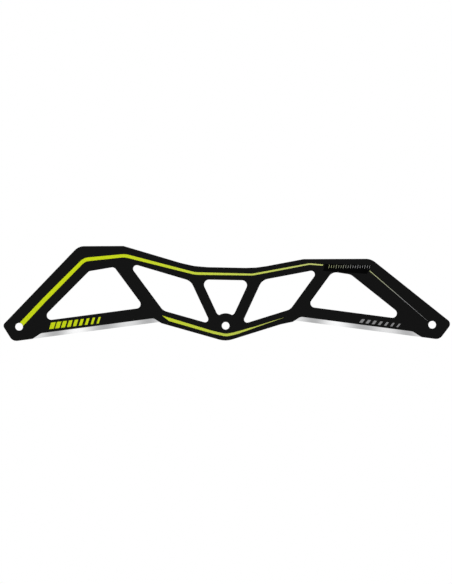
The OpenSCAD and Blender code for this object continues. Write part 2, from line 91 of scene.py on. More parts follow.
# Kind of Delaunay result that keeps only what lies inside the given loops
INSIDE_LOOPS = 1
SIDES = {"right": -1, "left": 1}
AXLES = ("rear", "middle", "front")
SCREW_NODES = (
    "heel_platform_screws", "toe_platform_screws", "rear_web_screws",
    "front_web_screws", "rear_spacer_screw", "front_spacer_screw",
)

# Print on the plates' outer faces, as x, z and width in millimetres
UPPER_STRIPE = (
    (-165.1, 0.0, 3.7), (-144.8, 21.4, 3.42), (-112.7, 53.4, 2.92), (-80.2, 56.5, 2.56),
    (-24.3, 41.9, 1.98), (21.7, 40.8, 1.46), (67.4, 49.1, 1.1), (78.0, 48.1, 0.94),
)
LOWER_STRIPE = (
    (-48.0, 6.2, 2.6), (-10.6, -5.1, 2.1), (0.4, -7.6, 2.05), (7.4, -6.2, 1.96),
    (15.2, -3.8, 1.5), (25.6, -0.5, 0.75), (35.0, 2.6, 0.5), (46.4, 6.3, 0.08),
)
FRONT_LINE = ((115.3, 43.4, 0.5), (161.6, 3.0, 0.07))
LABEL = ((78.8, 46.3, 5.75), (115.1, 44.4, 7.1))
# Slants of the cut ends, as a step along the run for each step to its left
UPPER_CUT, LOWER_CUT, LABEL_CUTS = dict(end=0.5), dict(start=-2.4), dict(start=0.2, end=0.5)
# Where the lime ink begins to pale and where it is palest, in millimetres ahead of the middle axle
PALING = (-120.0, 70.0)
# Rows of bars: ends, heights by turns, first and last share of a step, and slant
REAR_BARS = dict(start=(-140.3, 0.58), end=(-97.6, 5.3), heights=(5.0,), shares=(0.78, 0.36), slant=0.45)
FRONT_BARS = dict(start=(107.9, 3.47), end=(142.4, -0.93), heights=(3.0,), shares=(0.5, 0.3), slant=0.6)
LABEL_TICKS = dict(
    start=(82.8, 47.0), end=(117.2, 46.5), heights=(2.8, 2.0, 2.0), shares=(0.12, 0.12), slant=0.2)

# Painted reflection on the bevels: waves of light and shade that stand in for the studio's reflection; the run
# after which they repeat, and each wave's top and length
REFLECTION_REPEAT = 207 * MM
SHORT_REFLECTION, LONG_REFLECTION = (69.3 * MM, 37.4 * MM), (130.5 * MM, 85 * MM)
# How far the short wave of painted reflection is drawn forward at most, and where, as a wave of its own
REFLECTION_DRIFT, REFLECTION_DRIFT_WAVE = 4 * MM, (120 * MM, 75 * MM)

# Places of the two soft lights, the side of each, the camera's distance, and the lines of the floor's grid
KEY_PLACE, FILL_PLACE = (-0.7, -1.1, 1.3), (1.0, 0.9, 1.1)
LAMP_SIDE, CAMERA_AWAY, FLOOR_LINES = 1.0, 1.5, 9
# Tone of the lit floor, and how fast the sky takes it below the horizon
LIT_FLOOR, HORIZON = (0.738,) * 3, -8.0


def number(name, value, text, **settings):
    """A number property."""
    return FloatProperty(name=name, description=text, default=value, **settings)


def size(name, metres, text, least=0.0):
    """A length property in metres."""
    return number(name, metres, text, subtype="DISTANCE", unit="LENGTH", precision=5, min=least)


def angle(name, degrees, text):
    """An angle property, given in degrees."""
    return number(name, math.radians(degrees), text, subtype="ANGLE", unit="ROTATION")


def count(name, value, text, **limits):
    """A whole number property."""
    return IntProperty(name=name, description=text, default=value, **limits)


def tint(name, value, text):
    """A colour property."""
    return FloatVectorProperty(
        name=name, description=text, default=value, min=0.0, max=1.0, subtype="COLOR", size=3)


class PlateSizes(bpy.types.PropertyGroup):
    """Sizes of the plates' finish."""
    edge_round: size("Edge radius", 0.3 * MM, "Radius of the broken edges of a plate")
    edge_steps: count("Edge steps", EDGE_STEPS, "Facets of a broken edge", min=5, max=12)
    bevel_lean: angle("Bevel lean", 25, "Lean of the milled bevels from the outer face")
    hole_chamfer: size("Hole chamfer", 0.15 * MM, "Chamfer round the holes")
    seat_depth: size("Bush seat depth", 2.8 * MM, "Depth of a bush's seat from the inner face")
    thread_depth: size("Thread depth", 3.1 * MM, "Depth of a threaded hole from the inner face")
    head_sunk: size("Head sunk", 0.1 * MM, "How far a screw head lies below the outer face")


class PieceSizes(bpy.types.PropertyGroup):
    """Sizes of the pieces between the plates."""
    block_edge: size("Block edge", 0.45 * MM, "Chamfer of the deck blocks' edges")
    slide_edge: size("Slide edge", 0.3 * MM, "Chamfer of the slide plates' edges")
    web_edge: size("Web edge", 0.4 * MM, "Radius of the webs' and spacers' edges")
    bush_barrel: size("Bush barrel", 11 * MM, "Diameter of a bush's barrel")
    bush_chamfer: size("Bush chamfer", 0.3 * MM, "Chamfer of a bush's edges")
    axle_bore: size("Axle bore", 6.1 * MM, "Bore of a bush")
    screw_chamfer: size("Screw chamfer", 0.4 * MM, "Chamfer at the end of a screw")
    key_ratio: number("Key", 0.6, "Hexagon key as a share of the screw's diameter", min=0.3, max=0.8)
    head_ratio: number("Head", 1.85, "Head as a multiple of the screw's diameter", min=1.2, max=2.5)


class PrintSizes(bpy.types.PropertyGroup):
    """Sizes of the printed stripes and marks."""
    film: size("Ink film", 0.03 * MM, "How far the print stands on the plate")
    root: size("Ink root", 0.03 * MM, "How far the print reaches into the plate")
    hole_gap: size("Hole gap", 0.03 * MM, "Step from an axle hole or a screw head to the print")
    rear_marks: count("Rear bars", 9, "Slanted bars on the rear rail", min=1)
    front_marks: count("Front bars", 7, "Slanted bars on the front rail", min=1)
    ticks: count("Ticks", 18, "Ticks on the label", min=1)


class FinishColours(bpy.types.PropertyGroup):
    """Colours of the finishes."""
    black: tint("Black anodising", (0.0026,) * 3, "Side plates")
    black_worn: tint("Worn edge", (0.009, 0.009, 0.0093), "Side plates where an edge is rubbed")
    dark: tint("Dark anodising", (0.011, 0.011, 0.012), "Deck blocks, webs and spacers")
    bare: tint("Bare aluminium", (0.97, 0.973, 0.977), "Bevels and bushes")
    # Darker bare aluminium: the cutter's streaks, and on the bevels also the painted shade of the reflection
    # waves
    bare_streak_and_shade: tint("Tool streak", (0.45, 0.452, 0.456), "Streaks that the cutter leaves")
    zinc: tint("Zinc plate", (0.56, 0.57, 0.59), "Slide plates")
    oxide: tint("Black oxide", (0.035, 0.035, 0.038), "Screws")
    lime: tint("Lime ink", (0.6, 0.715, 0.004), "Stripes and bars")
    lime_pale: tint("Pale lime ink", (0.575, 0.632, 0.185), "Lime ink where it has paled towards the toe")
    grey: tint("Grey ink", (0.45, 0.45, 0.455), "Bars on the front rail, and ink that has faded")
    label: tint("Label", (0.0004,) * 3, "Glossy label under the toe deck")


class StageSizes(bpy.types.PropertyGroup):
    """Camera, floor and light."""
    picture_height: size("Picture height", 466.86 * MM, "Height of the picture")
    aim_x: size("Aim forward", 0.41 * MM, "Middle of the picture ahead of the middle axle", -1.0)
    aim_z: size("Aim height", 26.98 * MM, "Middle of the picture above the axles", -1.0)
    roll: angle("Roll", 0.272, "Roll of the camera")
    floor_size: size("Floor", 6.0, "Side of the floor", 0.1)
    floor: tint("Floor colour", (0.88,) * 3, "Pale floor")
    sky: number("Sky light", 0.55, "Strength of the even light", min=0.0, max=1.0, subtype="FACTOR")
    key: number("Key light", 14.0, "Power of the main soft light", unit="POWER")
    fill: number("Fill light", 6.0, "Power of the second soft light", unit="POWER")


class SkateFrameSettings(bpy.types.PropertyGroup):
    """All settings of the skate frame."""
    plate: PointerProperty(type=PlateSizes)
    piece: PointerProperty(type=PieceSizes)
    ink: PointerProperty(type=PrintSizes)
    colours: PointerProperty(type=FinishColours)
    stage: PointerProperty(type=StageSizes)


# Outlines read from the frame

def triangles(node):
    """Corners of a solid with its doubles welded, and its triangles as rows of three corner numbers."""
    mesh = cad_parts[node].data
    corners = np.empty(3 * len(mesh.vertices), np.float32)
    mesh.vertices.foreach_get("co", corners)
    corners = corners.reshape(-1, 3).astype(float)
    used = np.empty(len(mesh.loops), np.int32)
    mesh.loops.foreach_get("vertex_index", used)
    _, first, place = np.unique(
        np.round(corners / WELD).astype(np.int64), axis=0, return_index=True, return_inverse=True)
    return corners[first], place.reshape(-1)[used].reshape(-1, 3)


def flat_outlines(node, level):
    """Closed outlines of a solid's flat faces at a level along Y, the longest first.

    An edge lies on an outline if more flat triangles run along it one way than the other. Each corner leads
    to the next, and a walk of n corners becomes one of 2n by leaping n corners from each of them.
    """
    corners, faces = triangles(node)
    total = len(corners)
    flat = (abs(corners[faces][:, :, 1] - level) < WELD).all(axis=1)
    edges = faces[flat][:, [[0, 1], [1, 2], [2, 0]]].reshape(-1, 2)
    forth = np.bincount(edges @ (total, 1), minlength=total * total)
    back = np.bincount(edges @ (1, total), minlength=total * total)
    start, end = np.divmod(np.flatnonzero(forth > back), total)
    follow = np.arange(total)
    follow[start] = end
    waiting = start
    outlines = []
    while waiting.size:
        walk, leap, home = waiting[:1], follow, np.empty(0, int)
        while not home.size:
            if walk.size > 2 * total:
                raise ValueError(f"{node} has an open outline")
            walk = np.concatenate([walk, leap[walk]])
            leap = leap[leap]
            home = np.flatnonzero(walk[1:] == walk[0])
        walk = walk[:home[0] + 1]
        waiting = waiting[~np.isin(waiting, walk)]
        outlines.append(corners[walk][:, ::2])
    return sorted(outlines, key=lambda o: -np.ptp(o, axis=0).max())


def area(outline):
    """Signed area inside a closed outline, positive where it runs anticlockwise."""
    x, z = outline.T
    return (x @ np.roll(z, -1) - z @ np.roll(x, -1)) / 2


def turned(outline, way):
    """The outline, running anticlockwise for way 1 and clockwise for way -1."""
    return outline if area(outline) * way > 0 else outline[::-1]


def sorted_outlines(node, level):
    """Outer outline, windows and round holes of a flat face; a round hole is its centre and radius."""
    outer, *inner = flat_outlines(node, level)
    middles = [(o.max(axis=0) + o.min(axis=0)) / 2 for o in inner]
    reaches = [np.linalg.norm(o - m, axis=1) for o, m in zip(inner, middles)]
    is_round = [np.ptp(r) < ROUND_WITHIN for r in reaches]
    windows = [turned(o, -1) for o, r in zip(inner, is_round) if not r]
    holes = [(m, r.mean()) for m, r, hit in zip(middles, reaches, is_round) if hit]
    return turned(outer, 1), windows, holes


def outward(outline):
    """Mitred outward normals of a closed outline that has metal on its left: half the sum of the two edge
    normals at a corner, stretched so that both edges move by the same step."""
    edge = np.roll(outline, -1, axis=0) - outline
    edge = edge / np.linalg.norm(edge, axis=1, keepdims=True)
    normal = np.stack([edge[:, 1], -edge[:, 0]], axis=1)
    before = np.roll(normal, 1, axis=0)
    return (normal + before) / (1 + (normal * before).sum(axis=1, keepdims=True))


def nearest_on(outline, points):
    """Nearest points of a closed outline: each point is dropped on every edge, and the shortest drop wins."""
    start = outline[None]
    run = np.roll(outline, -1, axis=0)[None] - start
    along = ((points[:, None] - start) * run).sum(-1) / (run * run).sum(-1)
    dropped = start + np.clip(along, 0, 1)[..., None] * run
    best = np.linalg.norm(dropped - points[:, None], axis=-1).argmin(axis=1)
    return dropped[np.arange(len(points)), best]


# Making of meshes

class Skin:
    """Grids and caps of one piece, gathered as arrays and then welded into closed surfaces."""

    def __init__(self):
        self.points, self.rims, self.runs, self.faces, self.finishes = [], [], [], [], []
        self.count = 0

    def grid(self, points, ring=True, rim=0.0, run=0.0, finish=0):
        """Adds a grid of points, row by row, with four-cornered faces between neighbours. A ring closes each
        row on itself. The rim says where an edge is rubbed, and the run is a coordinate for a pattern to
        follow. Gives the point numbers of the first row and of the last."""
        shape = points.shape[:2]
        numbers = self.count + np.arange(shape[0] * shape[1]).reshape(shape)
        self.count += numbers.size
        self.points.append(points.reshape(-1, 3))
        self.rims.append(np.broadcast_to(rim, shape).reshape(-1))
        self.runs.append(np.broadcast_to(run, shape).reshape(-1))
        here = numbers if ring else numbers[:, :-1]
        after = np.roll(numbers, -1, axis=1) if ring else numbers[:, 1:]
        quads = np.stack([here[:-1], after[:-1], after[1:], here[1:]], axis=-1)
        self.faces.append(quads.reshape(-1, 4))
        self.finishes.append(np.broadcast_to(finish, quads.shape[:2]).reshape(-1))
        return numbers[0], numbers[-1]

    def caps(self, pairs):
        """Fills two flat faces square to Y, from pairs of rings: the outer edge's pair first, then those of
        the openings. An opening that one face lacks has None there."""
        for rings in zip(*pairs):
            self.cap([ring for ring in rings if ring is not None])

    def cap(self, rings):
        """Fills the flat area between an outer ring of point numbers and the rings inside it with the
        Delaunay triangles that lie in the outer ring alone."""
        border = np.concatenate(rings)
        flat = np.concatenate(self.points)[border][:, ::2] / MM
        loops = np.split(np.arange(len(border)), np.cumsum([len(ring) for ring in rings])[:-1])
        loops = [(loop if area(flat[loop]) > 0 else loop[::-1]).tolist() for loop in loops]
        _, _, faces, corners, _, owners = delaunay_2d_cdt(flat.tolist(), [], loops, INSIDE_LOOPS, WELD)
        if [len(corner) for corner in corners] != [1] * len(border):
            raise ValueError("rings of a flat face cross or touch")
        alone = [len(owner) == 1 for owner in owners]
        faces = border[np.array(corners)[:, 0][np.array(faces)[alone]]]
        self.faces.append(faces)
        self.finishes.append(np.zeros(len(faces), int))

    def slab(self, front, back, run=0.0):
        """Closes two equal grids into a slab: the front, the back and a wall round the border."""
        rows, columns = front.shape[:2]
        run = np.broadcast_to(run, (rows, columns))
        for face in (front, back):
            self.grid(face, ring=False, run=run)
        cells = np.arange(rows * columns).reshape(rows, columns)
        border = np.concatenate([cells[0], cells[1:, -1], cells[-1, -2::-1], cells[-2:0:-1, 0]])
        walls = np.stack([front.reshape(-1, 3)[border], back.reshape(-1, 3)[border]])
        self.grid(walls, run=run.reshape(-1)[border])

    def made(self, name, materials, slot, replaced=()):
        """Makes the piece an object on the frame's main body."""
        mesh = bpy.data.meshes.new(name)
        mesh.from_pydata(np.concatenate(self.points), [], sum((f.tolist() for f in self.faces), []))
        mesh.polygons.foreach_set("material_index", np.concatenate(self.finishes).astype(np.int32))
        for label, values in (("rim", self.rims), ("run", self.runs)):
            layer = mesh.attributes.new(label, "FLOAT", "POINT")
            layer.data.foreach_set("value", np.concatenate(values).astype(np.float32))
        finished(name, mesh, materials, "frame", replaced)


def placed(name, data):
    """A new object in the scene."""
    made = bpy.data.objects.new(name, data)
    bpy.context.scene.collection.objects.link(made)
    return made


def finished(name, mesh, materials, body, replaced, edge=0.0):
    """Welds a mesh, turns its faces outwards, keeps its folds crisp and makes it a piece that rides on a
    body. Where an edge width is given, the folds are bevelled by it."""
    shape = bmesh.new()
    shape.from_mesh(mesh)
    bmesh.ops.remove_doubles(shape, verts=shape.verts, dist=WELD)
    bmesh.ops.dissolve_degenerate(shape, edges=shape.edges, dist=WELD)
    if edge:
        bmesh.ops.dissolve_limit(shape, angle_limit=DISSOLVED, verts=shape.verts, edges=shape.edges)
    bmesh.ops.recalc_face_normals(shape, faces=shape.faces)
    shape.to_mesh(mesh)
    shape.free()
    mesh.shade_smooth()
    mesh.set_sharp_from_angle(angle=CRISP)
    for material in materials:
        mesh.materials.append(material)
    piece = placed(name, mesh)
    if edge:
        bevel = piece.modifiers.new("broken_edges", "BEVEL")
        bevel.width = edge
        bevel.segments = BEVEL_STEPS
        bevel.angle_limit = BEVELLED
    shading = piece.modifiers.new("even_normals", "WEIGHTED_NORMAL")
    shading.keep_sharp = True
    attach(piece, body)
    if replaced:
        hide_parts(*replaced)


def eased_copy(name, node, material, body, edge):
    """Makes a copy of a solid with its edges broken, to stand for it."""
    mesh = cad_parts[node].data.copy()
    mesh.materials.clear()
    finished(name, mesh, [material], body, [node], edge)


# From the mid-plane to a plate's inner and outer faces, and from one to the other
HALF_GAP, HALF_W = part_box("left_side_plate")[0].y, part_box("left_side_plate")[1].y
THICK = HALF_W - HALF_GAP


def in_space(flat, depth, side):
    """Points of the side view set at a depth under the outer face of the plate on that side."""
    deep = np.broadcast_to(depth, flat.shape[:-1])
    return np.stack([flat[..., 0], side * (HALF_W - deep), flat[..., 1]], axis=-1)


def broken_edge(steps):
    """Quarter circle of radius 1 from a face to a wall: how far inside the outline and below the face the
    surface lies, and how rubbed it is. At angle a these are 1 - sin a, 1 - cos a and sin 2a."""
    a = np.linspace(0, math.pi / 2, steps + 1)
    return 1 - np.sin(a), 1 - np.cos(a), np.sin(2 * a)


def turned_surface(skin, middle, profile, side, steps=ROUND_STEPS, **marks):
    """Surface of revolution along Y: a profile of radii and depths carried round a circle. A radius may be a
    row of its own, one for each step round the circle. Gives the first ring and the last."""
    a = np.arange(steps) * 2 * math.pi / steps
    circle = np.stack([np.cos(a), np.sin(a)], axis=-1)
    radii = np.stack([np.broadcast_to(radius, steps) for radius, _ in profile])
    depths = np.array([depth for _, depth in profile])[:, None]
    return skin.grid(in_space(middle + radii[..., None] * circle, depths, side), **marks)


def hexagon(apothem):
    """Radii of a hexagon at even steps round the circle: its apothem over the cosine of the angle from the
    middle of the nearest side."""
    a = np.arange(ROUND_STEPS) * 2 * math.pi / ROUND_STEPS
    return apothem / np.cos(a % (math.pi / 3) - math.pi / 6)


# The side plates

def plate_rim(skin, face, back, side, sizes):
    """Outer wall of a plate, as a profile carried round its outline; gives the rings of both faces.

    The profile is a broken edge, the step and slope of a milled bevel, the wall and a second broken edge.
    Where the outer face stops short of the plate's edge there is a bevel: its depth at a point is that
    point's distance below the bevel's upper line times the tangent of the lean, and the edge isn't broken.
    """
    low = nearest_on(back, face)
    fall = np.linalg.norm(face - low, axis=1)
    raised = fall > WELD
    milled = raised | np.roll(raised, 1) | np.roll(raised, -1)
    run = np.roll(face, -1, axis=0) - face
    length = np.linalg.norm(run, axis=1) * (raised & np.roll(raised, -1))
    step_depth, lip_depth = np.zeros(len(face)), np.zeros(len(face))
    slope = math.tan(sizes.bevel_lean)
    for half in (face[:, 0] < 0, face[:, 0] > 0):
        top = np.argmax(length * half)
        across = np.array([run[top, 1], -run[top, 0]]) / length[top]
        step_depth += half * milled * np.maximum((face - face[top]) @ across, 0) * slope
        lip_depth += half * milled * np.maximum((low - face[top]) @ across, 0) * slope
    inside, below, rubbed = broken_edge(sizes.edge_steps)
    radius = np.where(milled, 0, sizes.edge_round)
    outer = face - inside[:, None, None] * (outward(face) * radius[:, None])
    inner = low - inside[::-1, None, None] * (outward(low) * sizes.edge_round)
    flat = np.concatenate([outer, [face, low], inner])
    depth = np.concatenate([
        below[:, None] * radius, [np.maximum(step_depth, radius), np.maximum(lip_depth, radius)],
        THICK - below[::-1, None] * np.full(len(face), sizes.edge_round)])
    rows = len(flat)
    rim = np.zeros((rows, len(face)))
    rim[:len(rubbed)] = rubbed[:, None] * ~milled
    rim[-len(rubbed):] = rubbed[::-1, None]
    runs = np.zeros((rows, len(face)))
    runs[len(rubbed) + 1:] = 1
    both = milled & np.roll(milled, -1)
    finish = np.zeros((rows - 1, len(face)), int)
    finish[len(rubbed) - 1:len(rubbed) + 1] = both
    return skin.grid(in_space(flat, depth, side), rim=rim, run=runs, finish=finish)


def window_wall(skin, window, side, radius, steps, depths):
    """Wall of a window, with a broken edge at each face; gives the rings of both faces."""
    inside, below, rubbed = broken_edge(steps)
    inset = radius * np.concatenate([inside, inside[::-1]])
    deep = np.concatenate([depths[0] + radius * below, depths[1] - radius * below[::-1]])
    flat = window - inset[:, None, None] * outward(window)
    rim = np.concatenate([rubbed, rubbed[::-1]])[:, None]
    return skin.grid(in_space(flat, deep[:, None], side), rim=rim)


def axle_hole(skin, middle, bore, seat, side, sizes):
    """Axle hole through a plate, with the wider seat of its bush from the inner face."""
    cut = sizes.hole_chamfer
    floor = THICK - sizes.seat_depth
    profile = [
        (bore + cut, 0), (bore, cut), (bore, floor), (seat, floor), (seat, THICK - cut), (seat + cut, THICK)]
    return turned_surface(skin, middle, profile, side, rim=np.array([[0, 1, 0, 0, 1, 0]]).T)


def sunk_hole(skin, middle, head, shank, side, sizes):
    """Countersunk hole for a screw, from the outer face to the inner face."""
    profile = [
        (head, 0), (head, sizes.head_sunk), (shank, sizes.head_sunk + head - shank), (shank, THICK)]
    return turned_surface(skin, middle, profile, side, rim=np.array([[1, 0, 0, 0]]).T)


def blind_hole(skin, middle, radius, side, sizes):
    """Threaded hole that stops short of the outer face, so that it has a ring on the inner face only."""
    floor = THICK - sizes.thread_depth
    profile = [(0, floor), (radius, floor), (radius, THICK)]
    return None, turned_surface(skin, middle, profile, side, steps=THREAD_STEPS)[1]


def side_plate(name, side, sizes, materials):
    """One side plate with its windows, bevels, axle holes and screw holes."""
    node = f"{name}_side_plate"
    face, windows, outer_holes = sorted_outlines(node, side * HALF_W)
    back, _, inner_holes = sorted_outlines(node, side * HALF_GAP)
    skin = Skin()
    rings = [plate_rim(skin, face, back, side, sizes)]
    for window in windows:
        rings.append(window_wall(skin, window, side, sizes.edge_round, sizes.edge_steps, (0, THICK)))
    for middle, radius in inner_holes:
        opposite = [r for m, r in outer_holes if np.linalg.norm(m - middle) < SAME_PLACE]
        if not opposite:
            rings.append(blind_hole(skin, middle, radius, side, sizes))
        elif opposite[0] < radius:
            rings.append(axle_hole(skin, middle, opposite[0], radius, side, sizes))
        else:
            rings.append(sunk_hole(skin, middle, opposite[0], radius, side, sizes))
    skin.caps(rings)
    skin.made(f"{name}_plate", materials, "black_anodised", [node])


# Pieces between the plates

def screw(skin, middle, diameter, node, sizes):
    """Countersunk screw: pole, hexagon socket, head, cone, shank and a chamfered end."""
    low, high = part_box(node)
    top, tip = HALF_W - high.y, HALF_W - low.y
    radius, head = diameter / 2, diameter / 2 * sizes.head_ratio
    cone = head - radius
    cut = sizes.screw_chamfer
    key = hexagon(radius * sizes.key_ratio)
    lip, rub = SCREW_LIP, SCREW_RUB
    profile = [
        (0, top + cone), (key, top + cone), (key, top + lip), (key + lip, top), (key + rub, top),
        (head - rub, top), (head - lip, top), (head, top + lip / 2), (radius, top + cone),
        (radius, tip - cut), (radius - cut, tip), (0, tip)]
    rim = np.array([[0, 0, 1, 1, 0, 0, 1, 1, 0, 0, 0, 0]]).T
    turned_surface(skin, middle, profile, SIDES["left"], rim=rim)


def bush(name, node, middle, side, sizes, material):
    """Flanged bush: a chamfered profile carried round the axle, closed on itself."""
    low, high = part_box(node)
    ends = sorted(HALF_W - abs(y) for y in (low.y, high.y))
    barrel, flange, bore = sizes.bush_barrel / 2, (high.x - low.x) / 2, sizes.axle_bore / 2
    cut = sizes.bush_chamfer
    profile = [
        (bore + cut, ends[0]), (barrel - cut, ends[0]), (barrel, ends[0] + cut), (barrel, THICK),
        (flange - cut, THICK), (flange, THICK + cut), (flange, ends[1] - cut), (flange - cut, ends[1]),
        (bore + cut, ends[1]), (bore, ends[1] - cut), (bore, ends[0] + cut), (bore + cut, ends[0])]
    radii = np.array([[radius for radius, _ in profile]]).T
    skin = Skin()
    turned_surface(skin, middle, profile, side, steps=BUSH_STEPS, run=radii / MM)
    skin.made(name, [material], "bare_aluminium", [node])


def cross_piece(name, node, sizes, material):
    """Web or spacer between the plates: its outline carried across, with broken edges and plain holes."""
    outer, _, holes = sorted_outlines(node, HALF_GAP)
    depths = (THICK, HALF_W + HALF_GAP)
    skin = Skin()
    rings = [window_wall(skin, outer, SIDES["left"], sizes.web_edge, EDGE_STEPS, depths)]
    for middle, radius in holes:
        rings.append(turned_surface(skin, middle, [(radius, d) for d in depths], SIDES["left"]))
    skin.caps(rings)
    skin.made(name, [material], "dark_anodised", [node])


# Print

def eased_route(route, widths=1.2, steps=7):
    """Route with each bend eased by a parabola that starts and ends so many stripe widths from the corner."""
    route = np.array(route) * MM
    corner, before, after = route[1:-1], route[:-2], route[2:]
    reach = corner[:, 2:] * widths

    def towards(other):
        step = (other - corner)[:, :2]
        return corner[:, :2] + reach * step / np.linalg.norm(step, axis=1, keepdims=True)

    t = np.linspace(0, 1, steps)[None, :, None]
    start, end = towards(before)[:, None], towards(after)[:, None]
    bend = (1 - t) ** 2 * start + 2 * t * (1 - t) * corner[:, None, :2] + t ** 2 * end
    width = np.repeat(corner[:, None, 2:], steps, axis=1)
    eased = np.concatenate([bend, width], axis=-1).reshape(-1, 3)
    return np.concatenate([route[:1], eased, route[-1:]])


def ribbon(route, start=None, end=None, columns=7):
    """Flat ribbon along a route, as a grid: at each point the width is laid out along the mitre of the two
    runs that meet there. An end is cut at a slant, given as a step along the run for each step to the left,
    or along the rim of a round hole, given as its middle and radius."""
    points, width = route[:, :2], route[:, 2]
    run = np.diff(points, axis=0)
    run = run / np.linalg.norm(run, axis=1, keepdims=True)
    left = np.stack([-run[:, 1], run[:, 0]], axis=1)
    before, after = np.vstack([left[:1], left]), np.vstack([left, left[-1:]])
    mitre = (before + after) / (1 + (before * after).sum(axis=1, keepdims=True))
    offset = width[:, None] / 2 * np.linspace(-1, 1, columns)
    grid = points[:, None] + offset[..., None] * mitre[:, None]
    for row, cut, way in ((0, start, 1), (-1, end, -1)):
        if isinstance(cut, tuple):
            apart = cut[0] - points[row]
            rim = np.sqrt(cut[1] ** 2 - (offset[row] - apart @ left[row]) ** 2)
            grid[row] += (apart @ run[row] + way * rim)[:, None] * run[row]
        elif cut:
            grid[row] += (cut * offset[row])[:, None] * run[row]
    return grid


def broken_ribbon(route, holes, start=None, end=None):
    """Ribbons along a route that is broken by each hole that lies on one of its runs."""
    for middle, radius in holes:
        step = np.diff(route[:, :2], axis=0)
        part = np.clip(((middle - route[:-1, :2]) * step).sum(1) / (step * step).sum(1), 0, 1)
        gap = np.linalg.norm(route[:-1, :2] + part[:, None] * step - middle, axis=1)
        if gap.min() < radius - route[:, 2].max() / 2:
            at = gap.argmin()
            here = route[at] + part[at] * (route[at + 1] - route[at])
            clear = np.linalg.norm(route[:, :2] - middle, axis=1) > radius
            first = np.vstack([route[:at + 1][clear[:at + 1]], here])
            rest = np.vstack([here, route[at + 1:][clear[at + 1:]]])
            others = [hole for hole in holes if hole[0] is not middle]
            near = broken_ribbon(first, others, start, (middle, radius))
            if len(rest) < 2:
                return near
            return near + broken_ribbon(rest, others, (middle, radius), end)
    return [ribbon(route, start, end)]


def bars(total, start, end, heights, shares, slant):
    """Slanted bars along a line: each takes a share of its step, from the first share to the last."""
    start, end = np.array(start) * MM, np.array(end) * MM
    step = (end - start) / total
    way = step / np.linalg.norm(step)
    up = np.array([-way[1], way[0]]) + slant * way
    first = np.arange(total)
    wide = np.linspace(*shares, total)
    tall = np.resize(heights, total) * MM
    along = start + np.stack([first, first + wide], axis=1)[..., None] * step
    across = np.array([-0.5, 0.5]) * tall[:, None]
    return along[:, :, None] + across[:, None, :, None] * up


def printed(name, side_name, grids, material, slot, sizes, layer=1):
    """Ink film on a plate: each flat grid becomes a thin slab that stands on the outer face. A later layer
    stands on the one before."""
    side = SIDES[side_name]
    skin = Skin()
    for place, grid in enumerate(grids):
        run = (place + np.linspace(0, 1, len(grid))[:, None]) / len(grids)
        skin.slab(in_space(grid, -sizes.film * layer, side), in_space(grid, sizes.root, side), run=run)
    skin.made(f"{side_name}_{name}", [material], slot)


# Finishes

class Value:
    """A number in a node tree; arithmetic on it adds Math nodes."""

    def __init__(self, nodes, socket):
        self.nodes, self.socket = nodes, socket

    def math(self, operation, *terms):
        """Adds a Math node over the given terms."""
        return self.nodes.node("ShaderNodeMath", {"operation": operation}, dict(enumerate(terms)))

    def __add__(self, other):
        return self.math("ADD", self, other)

    __radd__ = __add__

    def __sub__(self, other):
        return self.math("SUBTRACT", self, other)

    def __rsub__(self, other):
        return self.math("SUBTRACT", other, self)

    def __mul__(self, other):
        return self.math("MULTIPLY", self, other)

    __rmul__ = __mul__

    def __mod__(self, other):
        return self.math("FLOORED_MODULO", self, other)

    def of(self, function):
        """A function of this number, such as COSINE."""
        return self.math(function, self)

    def limited(self):
        """This number, held between 0 and 1."""
        return self.nodes.node("ShaderNodeClamp", {}, {"Value": self})


class Nodes:
    """A node tree that is written as expressions."""

    def __init__(self, tree):
        self.tree = tree

    def node(self, kind, settings=None, sockets=None, out=0):
        """Adds a node: its settings first, then the values or links of its sockets."""
        made = self.tree.nodes.new(kind)
        for key, value in (settings or {}).items():
            setattr(made, key, value)
        for key, value in (sockets or {}).items():
            self.feed(made.inputs[key], value)
        return Value(self, made.outputs[out])

    def feed(self, socket, value):
        """Links a value to a socket, or sets the socket to a plain number or colour."""
        if isinstance(value, Value):
            self.tree.links.new(value.socket, socket)
        elif isinstance(value, (int, float)):
            socket.default_value = value
        else:
            socket.default_value = (*value, 1.0)[:len(socket.default_value)]

    def mix(self, factor, first, second):
        """Colour between two colours, by the Mix node's sockets for colours."""
        return self.node("ShaderNodeMix", {"data_type": "RGBA"}, {0: factor, 6: first, 7: second}, out=2)

    def along(self, axis, space="Object"):
        """Coordinate along X, Y or Z: of a piece, in metres, or of a ray's direction to the sky."""
        place = self.node("ShaderNodeTexCoord", out=space)
        return self.node("ShaderNodeSeparateXYZ", {}, {0: place}, out=axis)

    def attribute(self, name):
        """A number kept on the mesh."""
        return self.node("ShaderNodeAttribute", {"attribute_name": name}, out="Fac")

    def noise(self, vector, detail=3.0, roughness=0.55):
        """Noise at scale 1 over a vector."""
        sockets = {"Vector": vector, "Scale": 1.0, "Detail": detail, "Roughness": roughness}
        return self.node("ShaderNodeTexNoise", {}, sockets)

    def grain(self, per_metre, **settings):
        """Noise on Object coordinates: so many lumps to the metre along X, Y and Z."""
        place = self.node("ShaderNodeTexCoord", out="Object")
        scaled = self.node("ShaderNodeMapping", {}, {"Vector": place, "Scale": per_metre})
        return self.noise(scaled, **settings)

    def wave(self, along, top, length):
        """Wave between 0 and 1 along a coordinate, with a top at the given place."""
        return 0.5 + 0.5 * ((along - top) * (2 * math.pi / length)).of("COSINE")

    def joined(self, x, y, z=0.0):
        """A vector from three numbers."""
        return self.node("ShaderNodeCombineXYZ", {}, {0: x, 1: y, 2: z})


